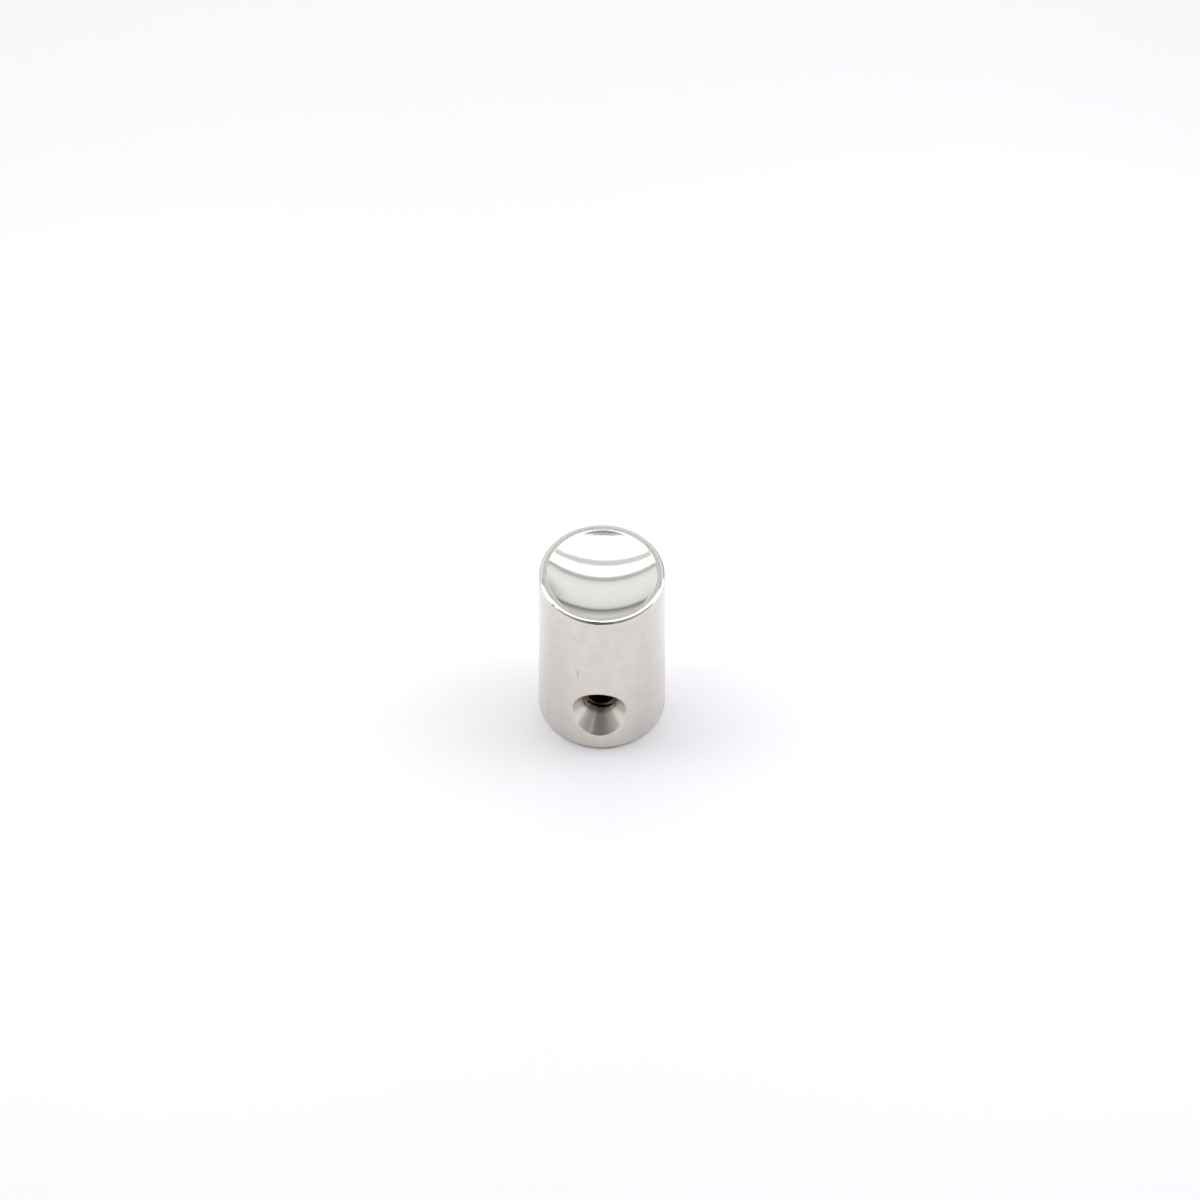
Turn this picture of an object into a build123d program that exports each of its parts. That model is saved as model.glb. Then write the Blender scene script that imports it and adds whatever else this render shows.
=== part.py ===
from build123d import *
import os
from math import radians, sqrt, tan

# A small turned steel knob for a plain rod, and the grub screw that clamps it to the rod.
# Millimetres and degrees. The knob stands on its base at z = 0 with its axis on +Z, and the
# grub screw's hole runs inwards from the -Y side.

# Knob body, outside
knob_diameter = 16.0
knob_height = 26.0
rim_round = 0.5  # radius on the top outside edge
land_width = 0.5  # flat ring between the dish and the rim round
dish_radius = 16.0  # spherical radius of the finger dish
base_chamfer = 0.3

# Rod bore, blind, from the base
rod_diameter = 4.0
rod_clearance = 0.05  # radial
rod_bore_depth = 17.0  # to the start of the drill point
rod_bore_chamfer = 0.4
drill_point_angle = 118.0  # included

# Grub screw's hole, from the side into the rod bore
thread_diameter = 4.0  # M4
hole_height = 7.0  # centre above the base
countersink_diameter = 8.6  # at the plane that touches the side
countersink_angle = 90.0  # included

# Grub screw, M4 x 2.5 with a flat point and a 2 mm hexagon socket
thread_clearance = 0.05  # radial, between the two plain cylinders that stand for the thread
screw_length = 2.5
screw_tip_gap = 0.05  # between the screw's tip and the rod bore's wall line at rest
screw_tip_diameter = 2.5
screw_socket_chamfer = 0.3
socket_across_flats = 2.0
socket_clearance = 0.02  # radial, all round the key
socket_depth = 1.5

# Worked out from the sizes above
knob_radius = knob_diameter / 2
dish_edge_radius = knob_radius - rim_round - land_width
dish_centre_height = knob_height + sqrt(dish_radius**2 - dish_edge_radius**2)
rod_bore_radius = rod_diameter / 2 + rod_clearance
hole_radius = thread_diameter / 2
screw_radius = hole_radius - thread_clearance
screw_tip_y = -(rod_bore_radius + screw_tip_gap)
screw_socket_y = screw_tip_y - screw_length
cut_margin = 1.0  # how far a cutting solid runs past the surface that it opens


def outer_solid():
    """The turned outside: a cylinder with a rounded rim and a broken base edge."""
    body = Cylinder(knob_radius, knob_height, align=(Align.CENTER, Align.CENTER, Align.MIN))
    edges = body.edges().filter_by(GeomType.CIRCLE).sort_by(Axis.Z)
    body = fillet(edges[-1], rim_round)
    edges = body.edges().filter_by(GeomType.CIRCLE).sort_by(Axis.Z)
    return chamfer(edges[0], base_chamfer)


def dish_cutter():
    """The ball whose lower cap is the finger dish."""
    return Pos(0, 0, dish_centre_height) * Sphere(dish_radius)


def rod_bore_cutter():
    """The blind bore with its chamfered mouth and its drill point."""
    point_height = rod_bore_radius / tan(radians(drill_point_angle / 2))
    mouth_radius = rod_bore_radius + rod_bore_chamfer + cut_margin
    outline = Polyline(
        (0, -cut_margin),
        (mouth_radius, -cut_margin),
        (rod_bore_radius, rod_bore_chamfer),
        (rod_bore_radius, rod_bore_depth),
        (0, rod_bore_depth + point_height),
        close=True,
    )
    return revolve(Plane.XZ * make_face(outline), Axis.Z)


def side_hole_cutter():
    """The countersunk hole for the grub screw, from outside the knob to the rod bore."""
    slope = tan(radians(countersink_angle / 2))
    mouth_radius = countersink_diameter / 2
    sink_depth = (mouth_radius - hole_radius) / slope
    outline = Polyline(
        (0, -knob_radius - cut_margin),
        (mouth_radius + cut_margin * slope, -knob_radius - cut_margin),
        (hole_radius, -knob_radius + sink_depth),
        (hole_radius, 0),
        (0, 0),
        close=True,
    )
    hole = revolve(Plane.XY * make_face(outline), Axis.Y)
    return Pos(0, 0, hole_height) * hole


def knob_body():
    """The knob, turned from one bar: outside, finger dish, rod bore and side hole."""
    return outer_solid() - dish_cutter() - rod_bore_cutter() - side_hole_cutter()


def grub_screw():
    """The socket set screw, with its socket facing -Y and its flat point towards the rod."""
    tip_radius = screw_tip_diameter / 2
    tip_chamfer = screw_radius - tip_radius
    outline = Polyline(
        (0, screw_socket_y),
        (screw_radius - screw_socket_chamfer, screw_socket_y),
        (screw_radius, screw_socket_y + screw_socket_chamfer),
        (screw_radius, screw_tip_y - tip_chamfer),
        (tip_radius, screw_tip_y),
        (0, screw_tip_y),
        close=True,
    )
    blank = revolve(Plane.XY * make_face(outline), Axis.Y)
    socket_apothem = socket_across_flats / 2 + socket_clearance
    hexagon = RegularPolygon(socket_apothem, 6, major_radius=False)
    socket_plane = Plane((0, screw_socket_y, 0), x_dir=(1, 0, 0), z_dir=(0, 1, 0))
    socket = extrude(socket_plane * hexagon, socket_depth)
    return Pos(0, 0, hole_height) * (blank - socket)


os.makedirs("parts", exist_ok=True)
export_step(knob_body(), "parts/knob_body.step")
export_step(grub_screw(), "parts/grub_screw.step")
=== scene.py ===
import bmesh
import bpy
import math
from mathutils import Matrix, Vector


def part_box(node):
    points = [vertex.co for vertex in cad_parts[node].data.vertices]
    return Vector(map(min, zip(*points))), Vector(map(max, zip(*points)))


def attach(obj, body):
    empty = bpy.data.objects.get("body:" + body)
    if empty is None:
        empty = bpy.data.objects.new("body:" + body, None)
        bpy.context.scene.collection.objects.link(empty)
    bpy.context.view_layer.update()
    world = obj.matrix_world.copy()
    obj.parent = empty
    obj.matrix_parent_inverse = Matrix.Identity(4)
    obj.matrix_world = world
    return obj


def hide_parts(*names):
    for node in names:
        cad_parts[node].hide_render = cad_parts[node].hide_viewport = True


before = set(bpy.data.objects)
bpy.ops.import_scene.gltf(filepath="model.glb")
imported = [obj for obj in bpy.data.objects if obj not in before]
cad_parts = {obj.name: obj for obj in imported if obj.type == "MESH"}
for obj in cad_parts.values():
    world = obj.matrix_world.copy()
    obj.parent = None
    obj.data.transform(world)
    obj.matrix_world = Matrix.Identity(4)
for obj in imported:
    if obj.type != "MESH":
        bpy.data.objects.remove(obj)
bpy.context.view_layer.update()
mm = 0.001
bodyLow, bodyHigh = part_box("knob_body")
screwLow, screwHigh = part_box("grub_screw")


# Camera: a long lens looking down at about fifty degrees, a little to the right of the side hole
camera = dict(
    lens=1000,
    azimuth=2.6,
    elevation=52.5,
    frameWidth=151.5 * mm,  # across the view, at the knob
    aimHeight=20.56 * mm,
    aimSide=-0.25 * mm,
)


def placeCamera():
    turn, rise = math.radians(camera["azimuth"]), math.radians(camera["elevation"])
    back = Vector((math.sin(turn) * math.cos(rise), -math.cos(turn) * math.cos(rise), math.sin(rise)))
    side = Vector((math.cos(turn), math.sin(turn), 0))
    data = bpy.data.cameras.new("studioCamera")
    data.lens = camera["lens"]
    distance = camera["frameWidth"] * data.lens / data.sensor_width
    cam = bpy.data.objects.new("studioCamera", data)
    bpy.context.scene.collection.objects.link(cam)
    aim = Vector((0, 0, camera["aimHeight"])) + side * camera["aimSide"]
    cam.location = aim + back * distance
    cam.rotation_euler = (-back).to_track_quat("-Z", "Y").to_euler()
    bpy.context.scene.camera = cam


placeCamera()
bpy.context.scene.view_settings.view_transform = "Standard"
print("camera placed")


def linear(hexColour):
    parts = [int(hexColour[i:i + 2], 16) / 255 for i in (1, 3, 5)]
    return (*[c / 12.92 if c <= 0.04045 else ((c + 0.055) / 1.055) ** 2.4 for c in parts], 1.0)


def addNode(tree, kind, inputs=None, stops=None, out=0, **settings):
    # adds a node with its settings, values and links, and gives back one of its outputs
    node = tree.nodes.new(kind)
    for name, value in settings.items():
        setattr(node, name, value)
    for key, value in (inputs or {}).items():
        if isinstance(value, bpy.types.NodeSocket):
            tree.links.new(value, node.inputs[key])
        else:
            node.inputs[key].default_value = value
    if stops:
        ramp = node.color_ramp
        ramp.elements[0].position, ramp.elements[1].position = stops[0][0], stops[-1][0]
        for place, shade in stops[1:-1]:
            ramp.elements.new(place)
        for element, (place, shade) in zip(ramp.elements, stops):
            element.color = shade
    return node.outputs[out] if node.outputs else None


# Studio: what the polished metal mirrors. Angles go up from the horizon behind the knob, over the
# top and down to the horizon on the camera's side. The other places are the X, Y or Z of a direction.
studio = dict(
    strength=1.0,
    bands=[  # angle in degrees, brightness
        (0, 1.0), (3, 0.90), (6, 0.72), (9, 0.60), (11.5, 0.46), (14.2, 0.22), (16, 0.66),
        (19, 0.94), (30, 1.08), (45, 1.12), (51.5, 1.0), (53.2, 0.60), (56.5, 0.60), (59.5, 2.2),
        (67.5, 2.2), (69.5, 0.85), (74.5, 0.85), (77, 2.2), (97, 2.2), (99.5, 0.7), (102.5, 0.4),
        (106, 0.07), (130, 0.07), (137, 0.21), (151, 0.21), (160, 0.08), (172, 0.10), (178, 0.8),
    ],
    frontFade=(-0.02, -0.3),  # where the room's dark side, behind the camera, sets in
    glowAcross=(0.05, 0.8),  # that side gets lighter to the left and right
    glowShade=(0.05, 0.55),
    cornerAcross=(0.28, 0.5),  # the rest is darker low on the right
    cornerUp=(0.36, 0.55),
    cornerShade=0.6,
    stripAcross=0.35,  # bright upright strip, which the countersink mirrors as a line
    stripUp=0.52,
    stripHalfWidth=0.03,
    stripHalfHeight=0.1,
    stripShade=1.3,
    underFloor=0.95,
)


def buildStudio():
    world = bpy.data.worlds.new("studioWorld")
    bpy.context.scene.world = world
    world.use_nodes = True
    tree = world.node_tree
    tree.nodes.clear()
    direction = addNode(tree, "ShaderNodeTexCoord", out="Generated")
    across, forwards, up = addNode(tree, "ShaderNodeSeparateXYZ", {0: direction}).node.outputs

    # bands overhead
    angle = addNode(tree, "ShaderNodeMath", {0: up, 1: forwards}, operation="ARCTAN2")
    share = addNode(tree, "ShaderNodeMath", {0: angle, 1: math.pi}, operation="DIVIDE")
    top = max(level for place, level in studio["bands"])
    stops = [(place / 180, (level / top, level / top, level / top, 1)) for place, level in studio["bands"]]
    band = addNode(tree, "ShaderNodeValToRGB", {0: share}, stops)
    overhead = addNode(tree, "ShaderNodeMath", {0: band, 1: top}, operation="MULTIPLY")

    # glow at both ends of the dark side
    start, end = studio["frontFade"]
    front = addNode(tree, "ShaderNodeMapRange", {0: forwards, 1: start, 2: end})
    sideways = addNode(tree, "ShaderNodeMath", {0: across}, operation="ABSOLUTE")
    start, end = studio["glowAcross"]
    dim, bright = studio["glowShade"]
    glow = addNode(tree, "ShaderNodeMapRange", {0: sideways, 1: start, 2: end, 3: dim, 4: bright})
    glowing = addNode(tree, "ShaderNodeMath", {0: glow, 1: front}, operation="MULTIPLY")

    # darker corner low on the right
    start, end = studio["cornerAcross"]
    onRight = addNode(tree, "ShaderNodeMapRange", {0: across, 1: start, 2: end})
    start, end = studio["cornerUp"]
    isLow = addNode(tree, "ShaderNodeMapRange", {0: up, 1: start, 2: end, 3: 1.0, 4: 0.0})
    corner = addNode(tree, "ShaderNodeMath", {0: onRight, 1: isLow}, operation="MULTIPLY")
    kept = addNode(tree, "ShaderNodeMapRange", {0: corner, 3: 1.0, 4: studio["cornerShade"]})
    cornered = addNode(tree, "ShaderNodeMath", {0: overhead, 1: kept}, operation="MULTIPLY")
    room = addNode(tree, "ShaderNodeMath", {0: cornered, 1: glowing}, operation="MAXIMUM")

    # upright strip
    isAcross = addNode(tree, "ShaderNodeMath", {
        0: across, 1: studio["stripAcross"], 2: studio["stripHalfWidth"],
    }, operation="COMPARE")
    isUp = addNode(tree, "ShaderNodeMath", {
        0: up, 1: studio["stripUp"], 2: studio["stripHalfHeight"],
    }, operation="COMPARE")
    upright = addNode(tree, "ShaderNodeMath", {0: isAcross, 1: isUp}, operation="MULTIPLY")
    strip = addNode(tree, "ShaderNodeMath", {0: upright, 1: front}, operation="MULTIPLY")
    striped = addNode(tree, "ShaderNodeMix", {
        "Factor": strip, "A": room, "B": studio["stripShade"],
    }, data_type="FLOAT")

    # below the horizon
    below = addNode(tree, "ShaderNodeMath", {0: up, 1: 0.0}, operation="LESS_THAN")
    whole = addNode(tree, "ShaderNodeMix", {
        "Factor": below, "A": striped, "B": studio["underFloor"],
    }, data_type="FLOAT")
    light = addNode(tree, "ShaderNodeBackground", {0: whole, 1: studio["strength"]})
    addNode(tree, "ShaderNodeOutputWorld", {0: light})


buildStudio()

floorPaper = dict(halfWidth=3.0, colour="#f5f5f7")


def buildFloor():
    shape = bmesh.new()
    bmesh.ops.create_grid(shape, x_segments=1, y_segments=1, size=floorPaper["halfWidth"])
    mesh = bpy.data.meshes.new("paperFloor")
    shape.to_mesh(mesh)
    shape.free()
    floor = bpy.data.objects.new("paperFloor", mesh)
    bpy.context.scene.collection.objects.link(floor)
    matt = bpy.data.materials.new("mattPaper")
    matt.use_nodes = True
    shader = matt.node_tree.nodes["Principled BSDF"]
    shader.inputs["Base Color"].default_value = linear(floorPaper["colour"])
    shader.inputs["Roughness"].default_value = 1.0
    shader.inputs["Specular IOR Level"].default_value = 0.0
    mesh.materials.append(matt)


buildFloor()

# two soft lamps that light the paper beside the knob, the right one stronger and cooler
lampSize = 60 * mm
sideLamps = dict(
    right=dict(place=(90 * mm, 25 * mm, 50 * mm), aim=(20 * mm, 0, 0), power=0.027, colour="#e9efff"),
    left=dict(place=(-90 * mm, 5 * mm, 60 * mm), aim=(-16 * mm, 0, 0), power=0.018, colour="#f6f8ff"),
)


def placeLamp(name, settings):
    data = bpy.data.lights.new(name + "Lamp", "AREA")
    data.shape = "DISK"
    data.size = lampSize
    data.energy = settings["power"]
    data.color = linear(settings["colour"])[:3]
    lamp = bpy.data.objects.new(name + "Lamp", data)
    bpy.context.scene.collection.objects.link(lamp)
    lamp.location = Vector(settings["place"])
    lamp.rotation_euler = (lamp.location - Vector(settings["aim"])).to_track_quat("Z", "Y").to_euler()


for lampName, lampSettings in sideLamps.items():
    placeLamp(lampName, lampSettings)
print("studio and floor built")


# Knob body: one closed mesh, with the sizes of the CAD body
knob = dict(
    radius=(bodyHigh.x - bodyLow.x) / 2,
    height=bodyHigh.z,
    columns=128,
    wallRows=(5, 34),  # below and above the patch round the side hole
    rimRound=0.5 * mm,
    rimSteps=12,
    landWidth=0.5 * mm,
    dishRadius=16.0 * mm,
    dishSteps=48,
    dishEdgeRound=0.03 * mm,
    baseChamfer=0.3 * mm,
    boreRadius=2.05 * mm,
    boreDepth=17.0 * mm,
    boreChamfer=0.4 * mm,
    boreColumns=48,
    boreRows=(10, 20),
    borePatchHalf=2.6 * mm,
    drillPoint=118,  # degrees
    drillSteps=6,
    edgeRound=0.05 * mm,
    sharpAngle=25,  # degrees, edges that are rounded off
    edgeSteps=3,
    nicks=[  # where the rim has been knocked: angle from the side hole in degrees, width, depth
        (-3.5, 0.5 * mm, 0.05 * mm),
        (-47, 0.6 * mm, 0.06 * mm),
        (-72, 0.45 * mm, 0.03 * mm),
        (61, 0.45 * mm, 0.03 * mm),
        (140, 0.5 * mm, 0.04 * mm),
        (-128, 0.6 * mm, 0.03 * mm),
    ],
)
sideHole = dict(
    height=(screwLow.z + screwHigh.z) / 2,
    mouthRadius=4.3 * mm,
    mouthRound=0.11 * mm,
    coneAngle=90,  # degrees
    coneSteps=8,
    threadRadius=2.0 * mm,
    patchHalf=4.75 * mm,  # square of wall round the mouth that is rolled with finer cells
    cells=24,
    rings=(0.3, 0.62, 1.0),  # shares of the way from that square to the hole's edge
)
thread = dict(
    pitch=0.7 * mm,
    steps=48,  # for each turn
    crestHalf=0.05 * mm,
    rootHalf=0.3 * mm,
    holeCrest=1.63 * mm,
    holeRoot=2.02 * mm,
    holeTurns=5,
    screwCrest=1.93 * mm,
    screwRoot=1.55 * mm,
    screwTurns=4,
)
shadeAngle = 35  # degrees, edges that are shaded sharp
weldGap = 0.002 * mm
closeTo = 0.01 * mm  # how near to a face a point counts as on it
wallFinish, dishFinish, landFinish, holeFinish = range(4)

# along the side hole, from the knob's axis: the grub screw's two ends and the countersink's end
screwTip, screwFace = -screwHigh.y, -screwLow.y
coneSlope = math.tan(math.radians(sideHole["coneAngle"] / 2))
coneEnd = knob["radius"] - (sideHole["mouthRadius"] - sideHole["threadRadius"]) / coneSlope
wallTop = knob["height"] - knob["rimRound"]
landEdge = knob["radius"] - knob["rimRound"] - knob["landWidth"]
# from a frame whose Z runs outwards along the side hole to the knob's frame
toHole = Matrix.Translation((0, 0, sideHole["height"])) @ Matrix.Rotation(math.pi / 2, 4, "X")


def spinProfile(shape, points, steps):
    # a line of (radius, height) points, turned once round Z
    verts = [shape.verts.new((0, r, z)) for r, z in points]
    edges = [shape.edges.new(pair) for pair in zip(verts, verts[1:])]
    bmesh.ops.spin(shape, geom=verts + edges, cent=(0, 0, 0), axis=(0, 0, 1), dvec=(0, 0, 0),
                   angle=2 * math.pi, steps=steps, use_merge=True)


def openRing(geometry):
    return [g for g in geometry if isinstance(g, bmesh.types.BMEdge) and g.is_boundary]


def ringVerts(edges):
    # in order round the side hole, from just past three o'clock so that no vertex lies on the cut
    cut = 0.01

    def turnOf(v):
        return (math.atan2(v.co.z - sideHole["height"], v.co.x) - cut) % (2 * math.pi)

    return sorted({v for e in edges for v in e.verts}, key=turnOf)


def openingPoint(point, halfWidth, low, high, radius, slope, opening):
    # where a point on the square patch goes on the hole's edge, both on the flat sheet
    across = point.x / halfWidth
    up = (point.z - (low + high) / 2) / ((high - low) / 2)
    if abs(up) >= abs(across):
        turn = math.copysign(math.pi / 2, up) - math.copysign(math.pi / 4, up) * across
    else:
        turn = math.pi / 4 * up if across > 0 else math.pi - math.pi / 4 * up
    # the edge falls back with the round wall, so a cone is narrower there; 30 rounds settle it
    reach = opening
    for attempt in range(30):
        depth = radius - math.sqrt(radius ** 2 - (reach * math.cos(turn)) ** 2)
        reach = opening - depth * slope
    side, rise = reach * math.cos(turn), reach * math.sin(turn)
    return Vector((radius * math.asin(side / radius), 0, sideHole["height"] + rise))


def drilledWall(shape, radius, columns, heights, rowsBetween, slope, opening):
    # a flat sheet with an opening for the side hole, rolled into a wall
    rows = []
    for (low, high), count in zip(zip(heights, heights[1:]), rowsBetween):
        rows += [low + (high - low) * i / count for i in range(count)]
    rows.append(heights[-1])
    made = bmesh.ops.create_grid(shape, x_segments=columns, y_segments=len(rows) - 1, size=1.0)
    verts = set(made["verts"])
    for v in verts:
        row = round((v.co.y + 1) / 2 * (len(rows) - 1))
        v.co = (v.co.x * math.pi * radius, 0, rows[row])

    # take out a square patch, and lead rings from its edge to the hole's edge
    low, high = heights[1], heights[2]
    halfWidth = sideHole["cells"] / 2 * 2 * math.pi * radius / columns

    def onPatch(point, margin):
        return abs(point.x) < halfWidth + margin and low - margin < point.z < high + margin

    inside = [f for f in {f for v in verts for f in v.link_faces} if onPatch(f.calc_center_median(), 0)]
    kept = {v for v in verts if not onPatch(v.co, -closeTo)}
    bmesh.ops.delete(shape, geom=inside, context="FACES")
    ring = [e for e in {e for v in kept for e in v.link_edges}
            if e.is_boundary and all(onPatch(v.co, closeTo) for v in e.verts)]
    square = [v.co.copy() for v in ringVerts(ring)]
    target = [openingPoint(p, halfWidth, low, high, radius, slope, opening) for p in square]
    for share in sideHole["rings"]:
        ring = openRing(bmesh.ops.extrude_edge_only(shape, edges=ring)["geom"])
        fresh = ringVerts(ring)
        for v, start, end in zip(fresh, square, target):
            v.co = start.lerp(end, share)
        kept |= set(fresh)
    for v in kept:
        turn = v.co.x / radius
        v.co = (radius * math.sin(turn), -radius * math.cos(turn), v.co.z)
    return ring


def addRidge(shape, root, crest, start, turns, trim):
    # a thread's ridge as a closed helical bar round Z, trimmed where the chamfers cut it
    foot, top = thread["rootHalf"], thread["crestHalf"]
    corners = [(root, start - foot), (crest, start - top), (crest, start + top), (root, start + foot)]
    verts = [shape.verts.new((reach, 0, z)) for reach, z in corners]
    face = shape.faces.new(verts)
    before = set(shape.verts) - set(verts)
    bmesh.ops.spin(shape, geom=[face] + list(face.edges) + verts, cent=(0, 0, 0), axis=(0, 0, 1),
                   dvec=(0, 0, thread["pitch"] / thread["steps"]), angle=2 * math.pi * turns,
                   steps=turns * thread["steps"])
    ridge = [v for v in shape.verts if v not in before]
    for v in ridge:
        reach = math.hypot(v.co.x, v.co.y)
        newReach, newHeight = trim(reach, v.co.z)
        v.co = (v.co.x * newReach / reach, v.co.y * newReach / reach, newHeight)
    return ridge


def roundEdges(shape, size, angle, segments, chosen):
    edges = [e for e in shape.edges if e.is_manifold and e.calc_face_angle(0) > math.radians(angle)]
    bmesh.ops.bevel(shape, geom=[e for e in edges if chosen(*e.verts)], offset=size, offset_type="OFFSET",
                    affect="EDGES", segments=segments, profile=0.5, material=-1, clamp_overlap=True)


def nickRim(shape):
    # small dents in the rim's round
    inset = 0.15 * knob["rimRound"]  # a dent's middle lies just outside the round
    slant = 0.7  # of its depth goes down, and as much inwards
    for angle, width, depth in knob["nicks"]:
        turn = math.radians(angle)
        outwards = Vector((math.sin(turn), -math.cos(turn), 0))
        spot = outwards * (knob["radius"] - inset) + Vector((0, 0, knob["height"] - inset))
        push = (Vector((0, 0, -1)) - outwards) * depth * slant
        for v in shape.verts:
            distance = (v.co - spot).length
            if distance < 2 * width:
                v.co += push * math.exp(-(distance / (width / 2)) ** 2)


def paintZones(shape):
    # which finish each face has
    topDepth = 2 * mm  # the dish, land and rim all lie within this
    for face in shape.faces:
        spot = face.calc_center_median()
        reach = math.hypot(spot.x, spot.y)
        innermost = min(math.hypot(v.co.x, v.co.y) for v in face.verts)
        onWall = innermost > knob["radius"] - 3 * closeTo and spot.z < wallTop
        onBase = spot.z < knob["baseChamfer"] and reach > knob["boreRadius"] + knob["boreChamfer"]
        isFlat = spot.z > knob["height"] - weldGap and face.normal.z > 0.999
        if spot.z > knob["height"] - topDepth and not onWall:
            face.material_index = landFinish if isFlat and reach > landEdge else dishFinish
        elif onWall or onBase:
            face.material_index = wallFinish
        else:
            face.material_index = holeFinish


def finishPiece(shape, name, finishes):
    mesh = bpy.data.meshes.new(name)
    shape.to_mesh(mesh)
    shape.free()
    mesh.shade_smooth()
    mesh.set_sharp_from_angle(angle=math.radians(shadeAngle))
    piece = bpy.data.objects.new(name, mesh)
    bpy.context.scene.collection.objects.link(piece)
    for finish in finishes:
        mesh.materials.append(finish)
    weighted = piece.modifiers.new("weightedNormal", "WEIGHTED_NORMAL")
    weighted.keep_sharp = True
    return piece


def buildBody():
    shape = bmesh.new()
    radius, height, bore = knob["radius"], knob["height"], knob["boreRadius"]
    middle, cells = sideHole["height"], sideHole["cells"]

    # outside wall and rod bore, each with its opening
    half = sideHole["patchHalf"]
    below, above = knob["wallRows"]
    outerRing = drilledWall(shape, radius, knob["columns"],
                            (knob["baseChamfer"], middle - half, middle + half, wallTop),
                            (below, cells, above), coneSlope, sideHole["mouthRadius"])
    half = knob["borePatchHalf"]
    below, above = knob["boreRows"]
    boreRing = drilledWall(shape, bore, knob["boreColumns"],
                           (knob["boreChamfer"], middle - half, middle + half, knob["boreDepth"]),
                           (below, cells, above), 0.0, sideHole["threadRadius"])
    print("walls rolled", len(outerRing), len(boreRing))

    # countersink, then the threaded hole through to the rod bore
    starts = [v.co.copy() for v in ringVerts(outerRing)]
    for step in range(1, sideHole["coneSteps"] + 1):
        outerRing = openRing(bmesh.ops.extrude_edge_only(shape, edges=outerRing)["geom"])
        for v, start in zip(ringVerts(outerRing), starts):
            turn = math.atan2(start.z - middle, start.x)
            side, rise = sideHole["threadRadius"] * math.cos(turn), sideHole["threadRadius"] * math.sin(turn)
            v.co = start.lerp(toHole @ Vector((side, rise, coneEnd)), step / sideHole["coneSteps"])
    bmesh.ops.bridge_loops(shape, edges=outerRing + boreRing)

    # rim, land and finger dish
    rimRound, dishRadius = knob["rimRound"], knob["dishRadius"]
    rimTurns = [math.pi / 2 * i / knob["rimSteps"] for i in range(knob["rimSteps"] + 1)]
    rim = [(radius - rimRound * (1 - math.cos(t)), wallTop + rimRound * math.sin(t)) for t in rimTurns]
    dishCentre = height + math.sqrt(dishRadius ** 2 - landEdge ** 2)
    dishHalf = math.asin(landEdge / dishRadius)
    dishTurns = [dishHalf * (1 - i / knob["dishSteps"]) for i in range(knob["dishSteps"] + 1)]
    dish = [(dishRadius * math.sin(t), dishCentre - dishRadius * math.cos(t)) for t in dishTurns]
    spinProfile(shape, rim + dish, knob["columns"])

    # base edge, rod bore's mouth and drill point
    spinProfile(shape, [(radius, knob["baseChamfer"]), (radius - knob["baseChamfer"], 0)], knob["columns"])
    spinProfile(shape, [(bore + knob["boreChamfer"], 0), (bore, knob["boreChamfer"])], knob["boreColumns"])
    pointHeight = bore / math.tan(math.radians(knob["drillPoint"] / 2))
    shares = [i / knob["drillSteps"] for i in range(knob["drillSteps"] + 1)]
    point = [(bore * (1 - share), knob["boreDepth"] + pointHeight * share) for share in shares]
    spinProfile(shape, point, knob["boreColumns"])
    bmesh.ops.remove_doubles(shape, verts=shape.verts, dist=weldGap)
    bmesh.ops.triangle_fill(shape, edges=[e for e in shape.edges if e.is_boundary], use_beauty=True)
    bmesh.ops.recalc_face_normals(shape, faces=shape.faces)
    print("open edges after closing", len([e for e in shape.edges if not e.is_manifold]))

    # broken edges
    def onMouth(a, b):
        onSkin = min(math.hypot(v.co.x, v.co.y) for v in (a, b)) > radius - closeTo
        return onSkin and a.co.z > 2 * knob["baseChamfer"] and b.co.z < wallTop

    def onDish(a, b):
        return min(a.co.z, b.co.z) > height - closeTo

    def onConeEnd(a, b):
        nearEnd = max(abs(v.co.y + coneEnd) for v in (a, b)) < closeTo
        return nearEnd and max(abs(a.co.x), abs(b.co.x)) < 1.1 * sideHole["threadRadius"]

    def onBase(a, b):
        return max(a.co.z, b.co.z) < knob["boreChamfer"] + closeTo

    for size, chosen in (
        (sideHole["mouthRound"], onMouth),
        (knob["dishEdgeRound"], onDish),
        (knob["edgeRound"], onConeEnd),
        (knob["edgeRound"], onBase),
    ):
        roundEdges(shape, size, knob["sharpAngle"], knob["edgeSteps"], chosen)
    nickRim(shape)
    paintZones(shape)

    # thread in the side hole, cut back by the countersink
    def countersunk(reach, z):
        return max(reach, thread["holeRoot"] + (z - coneEnd) * coneSlope), z

    start = screwTip + thread["pitch"]
    root, crest, turns = thread["holeRoot"], thread["holeCrest"], thread["holeTurns"]
    for v in addRidge(shape, root, crest, start, turns, countersunk):
        v.co = toHole @ v.co
        for face in v.link_faces:
            face.material_index = holeFinish
    print("open edges with thread", len([e for e in shape.edges if not e.is_manifold]))
    finishes = [satinNickelWall(), polishedNickelDish(), grainyNickelLand(), boredNickelPaintedShade()]
    return finishPiece(shape, "knobBody", finishes)


# Grub screw: socket set screw with a real thread, built outwards along its axis
grubScrew = dict(
    columns=48,
    faceRadius=1.65 * mm,
    tipRadius=1.25 * mm,
    coreRadius=1.57 * mm,
    socketFlats=2.04 * mm,
    socketDepth=1.5 * mm,
    socketPoint=0.35 * mm,  # drilled point below the socket
    socketPointSize=0.08,  # share of the socket's width that is left at its tip
    edgeRound=0.05 * mm,
    sharpAngle=40,  # degrees, edges that are rounded off
    edgeSteps=2,
)


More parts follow.
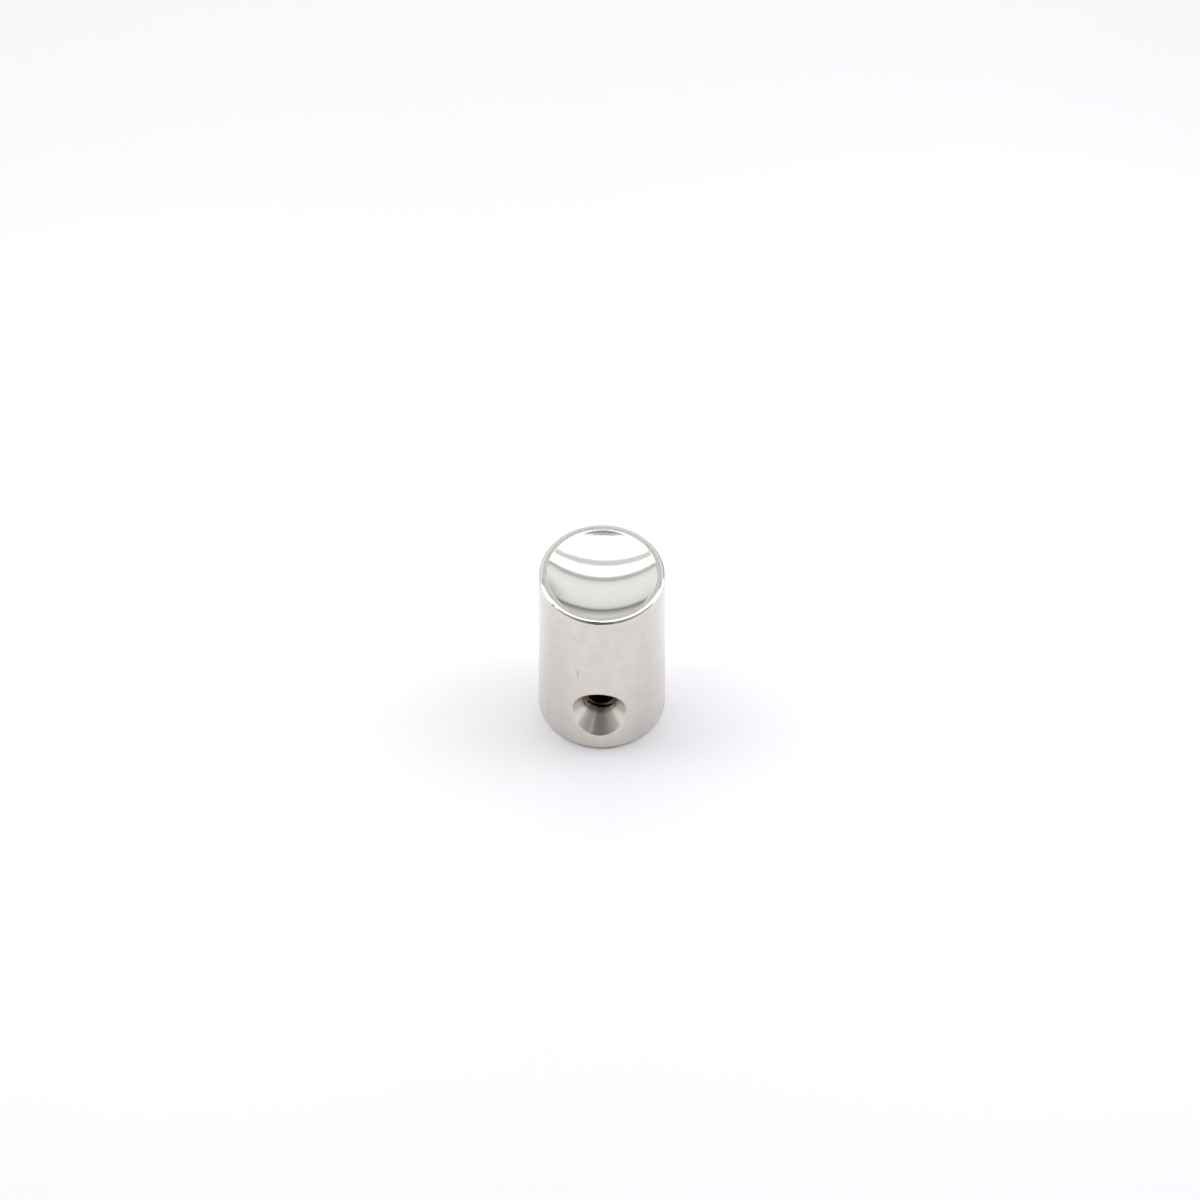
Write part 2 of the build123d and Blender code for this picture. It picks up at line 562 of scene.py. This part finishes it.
def buildScrew():
    shape = bmesh.new()
    core, tipRadius, columns = grubScrew["coreRadius"], grubScrew["tipRadius"], grubScrew["columns"]
    profile = [(core, screwFace), (core, screwTip + core - tipRadius), (tipRadius, screwTip), (0, screwTip)]
    spinProfile(shape, profile, columns)
    bmesh.ops.remove_doubles(shape, verts=shape.verts, dist=weldGap)
    faceRing = [e for e in shape.edges if e.is_boundary]

    # hexagon socket with its drilled point
    corner = grubScrew["socketFlats"] / 2 / math.cos(math.pi / 6)
    onFace = Matrix.Translation((0, 0, screwFace)) @ Matrix.Rotation(math.pi / 6, 4, "Z")
    made = bmesh.ops.create_circle(shape, segments=6, radius=corner, matrix=onFace)
    sides = list({e for v in made["verts"] for e in v.link_edges})
    bmesh.ops.subdivide_edges(shape, edges=sides, cuts=columns // 6 - 1)
    socket = [e for e in shape.edges if e.is_wire]
    bmesh.ops.bridge_loops(shape, edges=faceRing + socket)
    steps = (grubScrew["socketDepth"], 1.0), (grubScrew["socketPoint"], grubScrew["socketPointSize"])
    for drop, size in steps:
        socket = openRing(bmesh.ops.extrude_edge_only(shape, edges=socket)["geom"])
        ends = list({v for e in socket for v in e.verts})
        bmesh.ops.translate(shape, verts=ends, vec=(0, 0, -drop))
        bmesh.ops.scale(shape, verts=ends, vec=(size, size, 1))
    bmesh.ops.edgeloop_fill(shape, edges=socket)
    bmesh.ops.recalc_face_normals(shape, faces=shape.faces)
    print("screw's open edges", len([e for e in shape.edges if not e.is_manifold]))

    def atFace(a, b):
        return min(a.co.z, b.co.z) > screwFace - closeTo

    roundEdges(shape, grubScrew["edgeRound"], grubScrew["sharpAngle"], grubScrew["edgeSteps"], atFace)

    # thread, half a turn behind the hole's ridge so that the two mesh
    def chamfered(reach, z):
        bound = min(grubScrew["faceRadius"] + screwFace - z, tipRadius + z - screwTip) - closeTo
        return min(reach, bound), min(max(z, screwTip + 2 * closeTo), screwFace - 2 * closeTo)

    start = screwTip - thread["pitch"] / 2
    addRidge(shape, thread["screwRoot"], thread["screwCrest"], start, thread["screwTurns"], chamfered)
    bmesh.ops.recalc_face_normals(shape, faces=shape.faces)
    bmesh.ops.transform(shape, matrix=toHole, verts=shape.verts)
    return finishPiece(shape, "grubScrew", [blackOxideSteel()])


def startMaterial(name, colour, roughness):
    material = bpy.data.materials.new(name)
    material.use_nodes = True
    shader = material.node_tree.nodes["Principled BSDF"]
    shader.inputs["Metallic"].default_value = 1.0
    shader.inputs["Base Color"].default_value = linear(colour)
    shader.inputs["Roughness"].default_value = roughness
    return material, material.node_tree, shader


def connect(tree, shader, colour=None, roughness=None, height=None):
    if colour:
        tree.links.new(colour, shader.inputs["Base Color"])
    if roughness:
        tree.links.new(roughness, shader.inputs["Roughness"])
    if height:  # heights are in thousandths of a millimetre
        bump = addNode(tree, "ShaderNodeBump", {"Strength": 1.0, "Distance": 0.001 * mm, "Height": height})
        tree.links.new(bump, shader.inputs["Normal"])


def shadeStops(shades):
    return [(place, linear(colour)) for place, colour in shades]


def wallPoint(angle, height):
    turn = math.radians(angle)
    return (knob["radius"] * math.sin(turn), -knob["radius"] * math.cos(turn), height)


satinNickel = dict(
    colour="#ddd7d0",
    roughness=0.24,
    cloudSize=1.3 * mm,
    cloudShades=[(0.34, "#d6cfc8"), (0.5, "#dad4cd"), (0.66, "#ddd8d2")],
    cloudRange=(0.3, 0.7),
    cloudRoughness=(0.19, 0.25),
    cloudHeight=1.3,  # thousandths of a millimetre, as all heights here
    blushSize=2.2 * mm,
    blushRange=(0.5, 0.75),
    blushShare=0.35,
    blushColour="#dacdc7",
    fleckSize=0.35 * mm,
    fleckRange=(0.58, 0.72),
    fleckShare=0.18,
    fleckColour="#c9aea6",
    pitSpacing=0.7 * mm,
    pitRange=(0.05, 0.13),  # shares of the spacing
    pitsKept=0.25,
    pitShare=0.45,
    pitColour="#8d817a",
    pitHeight=-5.0,
    scratchPlace=(-20, 14.8 * mm),  # angle from the side hole in degrees, height
    scratchSize=(0.09 * mm, 0.3 * mm, 1.0 * mm),  # half its width, its depth and half its length
    scratchRange=(0.3, 1.1),
    scratchShare=0.6,
    scratchColour="#6f625a",
    lineSpacing=0.12 * mm,  # a little coarser than the tool's real feed, so that it shows
    lineRange=(0.45, 0.7),
    lineShare=0.2,
    lineColour="#bfb8b1",
    lineHeight=0.9,
)


def satinNickelWall():
    # bright nickel over turned steel, barrelled: satin and warm, faintly cloudy and flecked, with fine
    # turning lines round it, a few small pits and one scratch
    look = satinNickel
    material, tree, shader = startMaterial("satinNickelWall", look["colour"], look["roughness"])
    place = addNode(tree, "ShaderNodeTexCoord", out="Object")
    scale = 1 / look["cloudSize"]
    cloud = addNode(tree, "ShaderNodeTexNoise", {"Vector": place, "Scale": scale, "Detail": 2.0})
    colour = addNode(tree, "ShaderNodeValToRGB", {0: cloud}, shadeStops(look["cloudShades"]))
    for name, detail in (("blush", 1.0), ("fleck", 2.0)):
        scale = 1 / look[name + "Size"]
        low, high = look[name + "Range"]
        spots = addNode(tree, "ShaderNodeTexNoise", {"Vector": place, "Scale": scale, "Detail": detail})
        share = addNode(tree, "ShaderNodeMapRange", {0: spots, 1: low, 2: high, 4: look[name + "Share"]})
        colour = addNode(tree, "ShaderNodeMix", {
            0: share, 6: colour, 7: linear(look[name + "Colour"]),
        }, out=2, data_type="RGBA")

    # pits about 0.1 mm across, one in every few cells of the spacing
    cells = addNode(tree, "ShaderNodeTexVoronoi", {"Vector": place, "Scale": 1 / look["pitSpacing"]})
    low, high = look["pitRange"]
    pit = addNode(tree, "ShaderNodeMapRange", {0: cells, 1: low, 2: high, 3: 1.0, 4: 0.0})
    chance = addNode(tree, "ShaderNodeSeparateColor", {0: cells.node.outputs["Color"]})
    isKept = addNode(tree, "ShaderNodeMath", {0: chance, 1: look["pitsKept"]}, operation="LESS_THAN")
    pitted = addNode(tree, "ShaderNodeMath", {0: pit, 1: isKept}, operation="MULTIPLY")
    share = addNode(tree, "ShaderNodeMath", {0: pitted, 1: look["pitShare"]}, operation="MULTIPLY")
    colour = addNode(tree, "ShaderNodeMix", {
        0: share, 6: colour, 7: linear(look["pitColour"]),
    }, out=2, data_type="RGBA")

    # the scratch, upright and 2 mm long
    middle = wallPoint(*look["scratchPlace"])
    offset = addNode(tree, "ShaderNodeVectorMath", {0: place, 1: middle}, operation="SUBTRACT")
    size = tuple(1 / length for length in look["scratchSize"])
    scaled = addNode(tree, "ShaderNodeVectorMath", {0: offset, 1: size}, operation="MULTIPLY")
    away = addNode(tree, "ShaderNodeVectorMath", {0: scaled}, out="Value", operation="LENGTH")
    low, high = look["scratchRange"]
    share = addNode(tree, "ShaderNodeMapRange", {0: away, 1: low, 2: high, 3: look["scratchShare"], 4: 0.0})
    colour = addNode(tree, "ShaderNodeMix", {
        0: share, 6: colour, 7: linear(look["scratchColour"]),
    }, out=2, data_type="RGBA")

    # turning lines, which are the same all the way round
    height = addNode(tree, "ShaderNodeSeparateXYZ", {0: place}, out="Z")
    feed = addNode(tree, "ShaderNodeMath", {0: height, 1: 1 / look["lineSpacing"]}, operation="MULTIPLY")
    upwards = addNode(tree, "ShaderNodeCombineXYZ", {2: feed})
    lines = addNode(tree, "ShaderNodeTexNoise", {"Vector": upwards, "Scale": 1.0, "Detail": 1.0})
    low, high = look["lineRange"]
    share = addNode(tree, "ShaderNodeMapRange", {0: lines, 1: low, 2: high, 4: look["lineShare"]})
    colour = addNode(tree, "ShaderNodeMix", {
        0: share, 6: colour, 7: linear(look["lineColour"]),
    }, out=2, data_type="RGBA")

    low, high = look["cloudRange"]
    smooth, rough = look["cloudRoughness"]
    roughness = addNode(tree, "ShaderNodeMapRange", {0: cloud, 1: low, 2: high, 3: smooth, 4: rough})
    raised = addNode(tree, "ShaderNodeMath", {0: lines, 1: look["lineHeight"]}, operation="MULTIPLY")
    waved = addNode(tree, "ShaderNodeMath", {
        0: cloud, 1: look["cloudHeight"], 2: raised,
    }, operation="MULTIPLY_ADD")
    sunk = addNode(tree, "ShaderNodeMath", {
        0: pitted, 1: look["pitHeight"], 2: waved,
    }, operation="MULTIPLY_ADD")
    connect(tree, shader, colour, roughness, sunk)
    return material


def turnedPlace(tree):
    # how far a point is from the knob's axis, and its direction from it
    place = addNode(tree, "ShaderNodeTexCoord", out="Object")
    flat = addNode(tree, "ShaderNodeVectorMath", {0: place, 1: (1, 1, 0)}, operation="MULTIPLY")
    reach = addNode(tree, "ShaderNodeVectorMath", {0: flat}, out="Value", operation="LENGTH")
    direction = addNode(tree, "ShaderNodeVectorMath", {0: flat}, operation="NORMALIZE")
    return reach, direction


def radialGrain(tree, reach, direction, fineness, length):
    # noise drawn out along the radius, with 2 pi times fineness cells in a whole turn
    spread = addNode(tree, "ShaderNodeVectorMath", {
        0: direction, 1: (fineness, fineness, 0),
    }, operation="MULTIPLY")
    along = addNode(tree, "ShaderNodeMath", {0: reach, 1: 1 / length}, operation="MULTIPLY")
    lift = addNode(tree, "ShaderNodeCombineXYZ", {2: along})
    where = addNode(tree, "ShaderNodeVectorMath", {0: spread, 1: lift}, operation="ADD")
    return addNode(tree, "ShaderNodeTexNoise", {"Vector": where, "Scale": 1.0, "Detail": 2.0})


polishedNickel = dict(
    colour="#dcdad6",
    roughness=0.09,
    chatterFineness=15,  # about ninety marks round the dish
    chatterLength=2.5 * mm,
    chatterShades=[(0.36, "#dbd9d5"), (0.65, "#dddbd7")],
    chatterRange=(0.35, 0.65),
    chatterRoughness=(0.078, 0.072),
    chatterStart=1.5 * mm,  # the tool only chattered out where it cut fast
    chatterEnd=4.5 * mm,
    chatterHeight=3.5,
    ringSpacing=0.28 * mm,  # coarser than the tool's real feed, so that it shows
    ringHeight=0.22,
)


def polishedNickelDish():
    # bright nickel over a turned and polished dish: mirrors the room, with fine rings and radial chatter
    look = polishedNickel
    material, tree, shader = startMaterial("polishedNickelDish", look["colour"], look["roughness"])
    reach, direction = turnedPlace(tree)
    chatter = radialGrain(tree, reach, direction, look["chatterFineness"], look["chatterLength"])
    colour = addNode(tree, "ShaderNodeValToRGB", {0: chatter}, shadeStops(look["chatterShades"]))
    turns = addNode(tree, "ShaderNodeMath", {
        0: reach, 1: 2 * math.pi / look["ringSpacing"],
    }, operation="MULTIPLY")
    wave = addNode(tree, "ShaderNodeMath", {0: turns}, operation="SINE")
    rings = addNode(tree, "ShaderNodeMath", {0: wave, 1: look["ringHeight"]}, operation="MULTIPLY")
    fade = addNode(tree, "ShaderNodeMapRange", {
        0: reach, 1: look["chatterStart"], 2: look["chatterEnd"], 4: look["chatterHeight"],
    }, interpolation_type="SMOOTHSTEP")
    centred = addNode(tree, "ShaderNodeMath", {0: chatter, 1: 0.5}, operation="SUBTRACT")
    marks = addNode(tree, "ShaderNodeMath", {0: centred, 1: fade, 2: rings}, operation="MULTIPLY_ADD")
    low, high = look["chatterRange"]
    dull, bright = look["chatterRoughness"]
    roughness = addNode(tree, "ShaderNodeMapRange", {0: chatter, 1: low, 2: high, 3: dull, 4: bright})
    connect(tree, shader, colour, roughness, marks)
    return material


grainyNickel = dict(
    colour="#b4b1ad",
    roughness=0.4,
    grainFineness=60,  # cells 0.12 mm wide at the land, coarser than the real grain so that they show
    grainLength=0.25 * mm,
    grainShades=[(0.35, "#a5a29e"), (0.5, "#b4b1ad"), (0.66, "#c2bfbc")],
    grainHeight=4.0,
)


def grainyNickelLand():
    # nickel over the unpolished ring round the dish: grey, with a fine radial grain
    look = grainyNickel
    material, tree, shader = startMaterial("grainyNickelLand", look["colour"], look["roughness"])
    reach, direction = turnedPlace(tree)
    grain = radialGrain(tree, reach, direction, look["grainFineness"], look["grainLength"])
    colour = addNode(tree, "ShaderNodeValToRGB", {0: grain}, shadeStops(look["grainShades"]))
    raised = addNode(tree, "ShaderNodeMath", {0: grain, 1: look["grainHeight"]}, operation="MULTIPLY")
    connect(tree, shader, colour, None, raised)
    return material


holeNickelPaintedShade = dict(
    colour="#cfc9c2",
    roughness=0.26,
    depth=(-7.6 * mm, -4.6 * mm),  # from the mouth inwards, as the shades go
    # painted shade: these shades darken and brown from the mouth inwards, standing in for the shade deep in
    # the hole
    shades=[(0.0, "#dfdad5"), (0.5, "#d6cfc8"), (0.62, "#a09485"), (0.72, "#6e6154"), (1.0, "#52473d")],
    ringSpacing=0.3 * mm,  # coarser than the drill's real feed, so that it shows
    ringHeight=0.3,
)


def boredNickelPaintedShade():
    # nickel on drilled and countersunk steel, with feed rings round the hole; its colour is painted darker
    # and browner inwards, as painted shade deep in the hole
    look = holeNickelPaintedShade
    material, tree, shader = startMaterial("boredNickelPaintedShade", look["colour"], look["roughness"])
    place = addNode(tree, "ShaderNodeTexCoord", out="Object")
    outer, inner = look["depth"]
    depth = addNode(tree, "ShaderNodeSeparateXYZ", {0: place}, out="Y")
    # painted shade: the colour darkens with depth along the side hole, and the rod bore takes the darkest
    # shade
    inwards = addNode(tree, "ShaderNodeMapRange", {0: depth, 1: outer, 2: inner})
    colour = addNode(tree, "ShaderNodeValToRGB", {0: inwards}, shadeStops(look["shades"]))
    lowered = addNode(tree, "ShaderNodeVectorMath", {
        0: place, 1: (0, 0, -sideHole["height"]),
    }, operation="ADD")
    flat = addNode(tree, "ShaderNodeVectorMath", {0: lowered, 1: (1, 0, 1)}, operation="MULTIPLY")
    reach = addNode(tree, "ShaderNodeVectorMath", {0: flat}, out="Value", operation="LENGTH")
    turns = addNode(tree, "ShaderNodeMath", {
        0: reach, 1: 2 * math.pi / look["ringSpacing"],
    }, operation="MULTIPLY")
    wave = addNode(tree, "ShaderNodeMath", {0: turns}, operation="SINE")
    rings = addNode(tree, "ShaderNodeMath", {0: wave, 1: look["ringHeight"]}, operation="MULTIPLY")
    connect(tree, shader, colour, None, rings)
    return material


blackOxide = dict(
    colour="#2c2926",
    roughness=0.38,
    patchSize=0.5 * mm,
    patchShades=[(0.35, "#24221f"), (0.55, "#2f2b27"), (0.72, "#43392f")],
    patchRange=(0.3, 0.7),
    patchRoughness=(0.3, 0.48),
    patchHeight=3.0,
)


def blackOxideSteel():
    # black oxide on hardened steel, wiped with oil: near black, a soft sheen, browner where it is thin
    look = blackOxide
    material, tree, shader = startMaterial("blackOxideSteel", look["colour"], look["roughness"])
    place = addNode(tree, "ShaderNodeTexCoord", out="Object")
    scale = 1 / look["patchSize"]
    patch = addNode(tree, "ShaderNodeTexNoise", {"Vector": place, "Scale": scale, "Detail": 4.0})
    colour = addNode(tree, "ShaderNodeValToRGB", {0: patch}, shadeStops(look["patchShades"]))
    low, high = look["patchRange"]
    smooth, rough = look["patchRoughness"]
    roughness = addNode(tree, "ShaderNodeMapRange", {0: patch, 1: low, 2: high, 3: smooth, 4: rough})
    raised = addNode(tree, "ShaderNodeMath", {0: patch, 1: look["patchHeight"]}, operation="MULTIPLY")
    connect(tree, shader, colour, roughness, raised)
    return material


body = buildBody()
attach(body, "knob")
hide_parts("knob_body")
print("knob body made")

screw = buildScrew()
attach(screw, "grub_screw")
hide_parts("grub_screw")
print("grub screw made")
